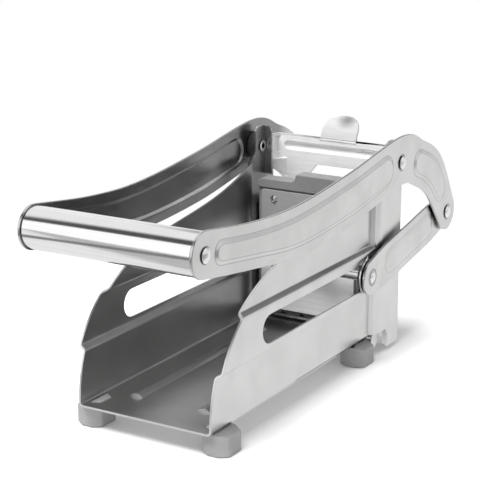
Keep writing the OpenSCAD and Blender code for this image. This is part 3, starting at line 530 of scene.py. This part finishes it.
def makePressings(kind, body, pressing, rules):
    low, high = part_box(kind + "_right")
    level = high.x - pressing["rise"]
    loops = flatLoops(kind + "_right", level, rules)
    for side, name in ((1, kind + "_right"), (-1, kind + "_left")):
        form = pressedSheet(side, loops, level, level - low.x, pressing)
        newPiece(name + ".pressed", form, pressedSteel, body, name)
        print(name, "pressed from", len(loops), "loops")


makePressings("arm", "lever", armPressing, meshRules)
makePressings("link", "links", linkPressing, meshRules)

# Handle tube with its ends rolled over
tubeSizes = {"wall": 1.0 * millimetre, "roll": 0.5 * millimetre, "segments": 192, "rollSteps": 5}


def makeTube(sizes):
    low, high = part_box("handle_tube")
    centre = (low + high) / 2
    outer = (high.z - low.z) / 2
    inner = outer - sizes["wall"]
    corners = []
    for k in range(sizes["rollSteps"] + 1):
        angle = math.pi * k / sizes["rollSteps"]
        corners.append((high.x - sizes["roll"] + sizes["roll"] * math.sin(angle),
                        (outer + inner) / 2 + (sizes["wall"] / 2) * math.cos(angle)))
    profile = corners + [(-x, radius) for x, radius in reversed(corners)]
    form = bmesh.new()
    rings = []
    for k in range(sizes["segments"]):
        turn = 2 * math.pi * k / sizes["segments"]
        up, along = math.sin(turn), math.cos(turn)
        rings.append([form.verts.new((x, centre.y + radius * along, centre.z + radius * up))
                      for x, radius in profile])
    for ring, other in zip(rings, rings[1:] + rings[:1]):
        for i in range(len(profile)):
            j = (i + 1) % len(profile)
            form.faces.new((ring[i], ring[j], other[j], other[i]))
    newPiece("handle_tube.rolled", form, tubeSteel, "lever", "handle_tube")


makeTube(tubeSizes)
print("sheets and tube made")

floorSettings = {
    "radius": 6.0, "segments": 96, "drop": 0.1 * millimetre, "level": 0.96, "mirroredGlow": 0.9,
    "fadeScale": (1.0, 0.7, 1.0), "fade": (0.14, 0.34),
}
# Dark parts of the floor that only metal mirrors: each lies beyond its lines, where a line is a
# direction and the distances along it over which the dark begins
darkFloors = {
    "frontLeft": {"lines": [((-0.85, -0.526, 0), 0.29, 0.32), (xAxis, -0.30, -0.27)], "level": 0.07},
    "front": {"lines": [((-0.50, -0.866, 0), 0.05, 0.12)], "level": 0.86},
    "frontRight": {"lines": [((0.55, -0.835, 0), 0.14, 0.20)], "level": 0.50},
    "right": {"lines": [((0.743, -0.669, 0), 0.070, 0.100), (xAxis, 0.25, 0.29)], "level": 0.55},
}


def makeFloor(settings, darkParts):
    material, wire = newMaterial("floorPaper")
    place = wire.make("ShaderNodeTexCoord", None, None, "Object")
    isCamera = wire.make("ShaderNodeLightPath", None, None, "Is Camera Ray")
    isGlossy = wire.make("ShaderNodeLightPath", None, None, "Is Glossy Ray")
    mirrored = 1
    for part in darkParts.values():
        mask = 1
        for direction, start, end in part["lines"]:
            mask = mask * place.along(direction).eased(start, end)
        mirrored = mirrored * (1 - mask * (1 - part["level"]))
    paper = wire.make("ShaderNodeBsdfDiffuse", None, {"Color": grey(settings["level"])})
    shade = mixColours(wire, isGlossy * (1 - mirrored), grey(1.0), grey(0.0))
    white = wire.make("ShaderNodeEmission", None, {"Color": shade, "Strength": 1.0})
    away = place.stretched(settings["fadeScale"]).distance((0, 0, 0))
    share = (away.eased(*settings["fade"]) * isCamera + isGlossy * settings["mirroredGlow"]).clamped()
    both = wire.make("ShaderNodeMixShader", None, {0: share, 1: paper, 2: white})
    wire.make("ShaderNodeOutputMaterial", None, {"Surface": both})
    form = bmesh.new()
    bmesh.ops.create_circle(form, cap_ends=True, segments=settings["segments"],
                            radius=settings["radius"])
    floor = newObject("floor", form, material)
    floor.location = (0, 0, -settings["drop"])


makeFloor(floorSettings, darkFloors)

# The room that the metal mirrors: white, with soft boxes and dark gaps between them. Bands run
# along X and are given by their angles above the horizon in front; the rest are round patches.
worldSettings = {"light": 0.60, "white": 1.0}
roomBands = {
    "frontBox": {"from": -12.0, "fromSoft": 4.0, "to": 51.0, "toSoft": 2.0, "level": 1.28},
    "gapAbove": {"from": 51.0, "fromSoft": 2.0, "to": 77.0, "toSoft": 7.0, "level": 0.09},
}
roomPatches = {
    "behindCamera": {"centre": (0.62, -0.76, 0.19), "fade": (0.72, 0.86), "level": 0.22},
    "backAbove": {"centre": (0.1, 0.82, 0.56), "fade": (0.79, 0.93), "level": 0.25},
}


def makeWorld(settings, bands, patches):
    world = bpy.data.worlds.new("studio")
    bpy.context.scene.world = world
    world.use_nodes = True
    tree = world.node_tree
    tree.nodes.clear()
    wire = Wire(tree)
    towards = wire.make("ShaderNodeTexCoord", None, None, "Generated")

    def above(angle, soft):
        turn, reach = math.radians(angle), math.sin(math.radians(soft))
        return towards.along((0, math.sin(turn), math.cos(turn))).eased(-reach, reach)

    room = 1
    for band in bands.values():
        mask = above(band["from"], band["fromSoft"]) * (1 - above(band["to"], band["toSoft"]))
        room = room * (1 - mask * (1 - band["level"]))
    for patch in patches.values():
        mask = towards.along(Vector(patch["centre"]).normalized()).eased(*patch["fade"])
        room = room * (1 - mask * (1 - patch["level"]))
    isCamera = wire.make("ShaderNodeLightPath", None, None, "Is Camera Ray")
    isGlossy = wire.make("ShaderNodeLightPath", None, None, "Is Glossy Ray")
    isThrough = wire.make("ShaderNodeLightPath", None, None, "Is Transmission Ray")
    light = wire.make("ShaderNodeBackground", None, {"Color": grey(1.0), "Strength": settings["light"]})
    tint = wire.make("ShaderNodeVectorMath", {"operation": "SCALE"}, {0: (1, 1, 1), "Scale": room})
    mirrored = wire.make("ShaderNodeBackground", None, {"Color": tint, "Strength": 1.0})
    seen = wire.make("ShaderNodeBackground", None, {"Color": grey(1.0), "Strength": settings["white"]})
    inMetal = wire.make("ShaderNodeMixShader", None, {0: isGlossy, 1: light, 2: mirrored})
    shown = (isCamera + isThrough).clamped()
    both = wire.make("ShaderNodeMixShader", None, {0: shown, 1: inMetal, 2: seen})
    wire.make("ShaderNodeOutputWorld", None, {"Surface": both})


makeWorld(worldSettings, roomBands, roomPatches)

# Soft key lamp above, a little to the front; metal mirrors the room instead
lampSettings = {"towards": (-0.12, -0.38, 0.92), "distance": 2.2, "size": 1.3, "watts": 76}


def makeLamp(settings):
    data = bpy.data.lights.new("keyLamp", "AREA")
    data.shape = "SQUARE"
    data.size = settings["size"]
    data.energy = settings["watts"]
    lamp = bpy.data.objects.new("keyLamp", data)
    bpy.context.scene.collection.objects.link(lamp)
    way = Vector(settings["towards"]).normalized()
    turn = way.to_track_quat("Z", "Y").to_matrix().to_4x4()
    lamp.matrix_world = Matrix.Translation(way * settings["distance"]) @ turn
    lamp.visible_glossy = False
    lamp.visible_camera = False


makeLamp(lampSettings)

cameraSettings = {
    "place": (0.405366, -0.70508, 0.301125), "yaw": 30.80, "pitch": 15.31, "roll": 0.11,
    "lens": 113.925, "clip": (0.01, 50),
}


def makeCamera(settings):
    data = bpy.data.cameras.new("camera")
    camera = bpy.data.objects.new("camera", data)
    bpy.context.scene.collection.objects.link(camera)
    data.lens = settings["lens"]
    data.clip_start, data.clip_end = settings["clip"]
    yaw, pitch, roll = (math.radians(settings[word]) for word in ("yaw", "pitch", "roll"))
    level = Vector((-math.sin(yaw), math.cos(yaw), 0))
    ahead = level * math.cos(pitch) - Vector((0, 0, math.sin(pitch)))
    side = Vector((math.cos(yaw), math.sin(yaw), 0))
    up = side.cross(ahead)
    right = side * math.cos(roll) + up * math.sin(roll)
    top = up * math.cos(roll) - side * math.sin(roll)
    turn = Matrix((right, top, -ahead)).transposed()
    camera.matrix_world = Matrix.Translation(settings["place"]) @ turn.to_4x4()
    bpy.context.scene.camera = camera


makeCamera(cameraSettings)
bpy.context.scene.view_settings.view_transform = "Standard"
print("camera, floor and world made")
